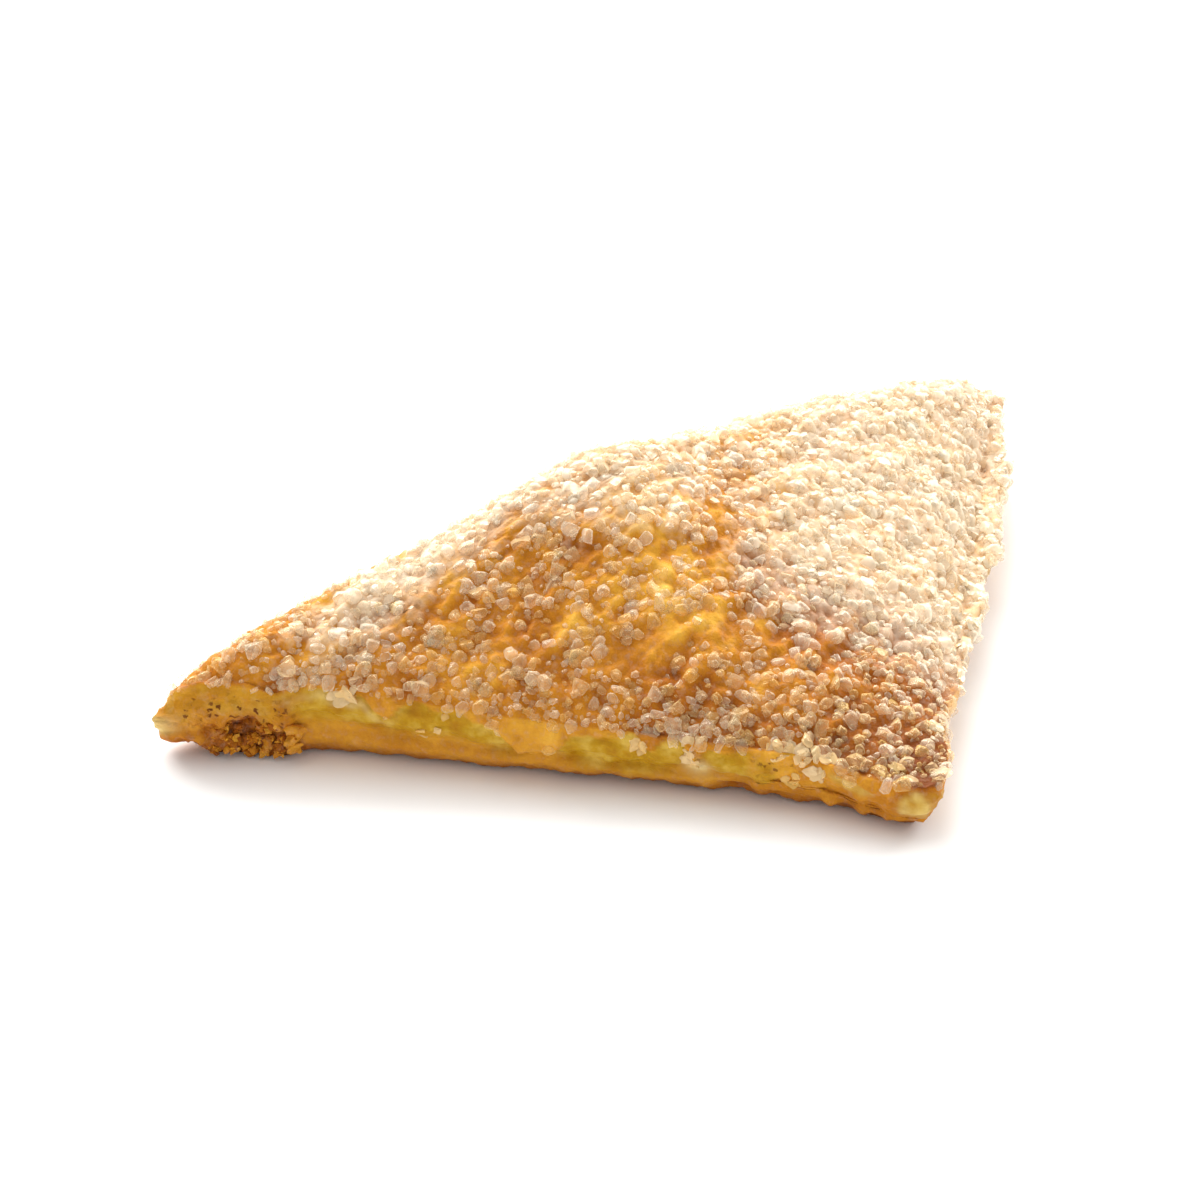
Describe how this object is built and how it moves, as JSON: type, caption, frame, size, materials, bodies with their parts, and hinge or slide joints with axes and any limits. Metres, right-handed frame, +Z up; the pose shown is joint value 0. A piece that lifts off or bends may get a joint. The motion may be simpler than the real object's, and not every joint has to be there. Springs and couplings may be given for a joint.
{
  "type": "turnover pastry",
  "caption": "Baked puff pastry triangle, folded corner to corner over a filling, with a round fold, sealed cut sides and coarse sugar on the crust.",
  "frame": {"origin": "on the resting plane, under the middle of the pastry's bounding box", "axes": "+Z up from the resting plane; -Y is the front cut side and +X the right cut side, which meet in the square corner; the round fold faces -X and +Y"},
  "size_m": [0.1238, 0.119, 0.0365],
  "materials": {
    "crust": "matte"
  },
  "bodies": {
    "root": {"turnover": "crust"}
  },
  "joints": []
}
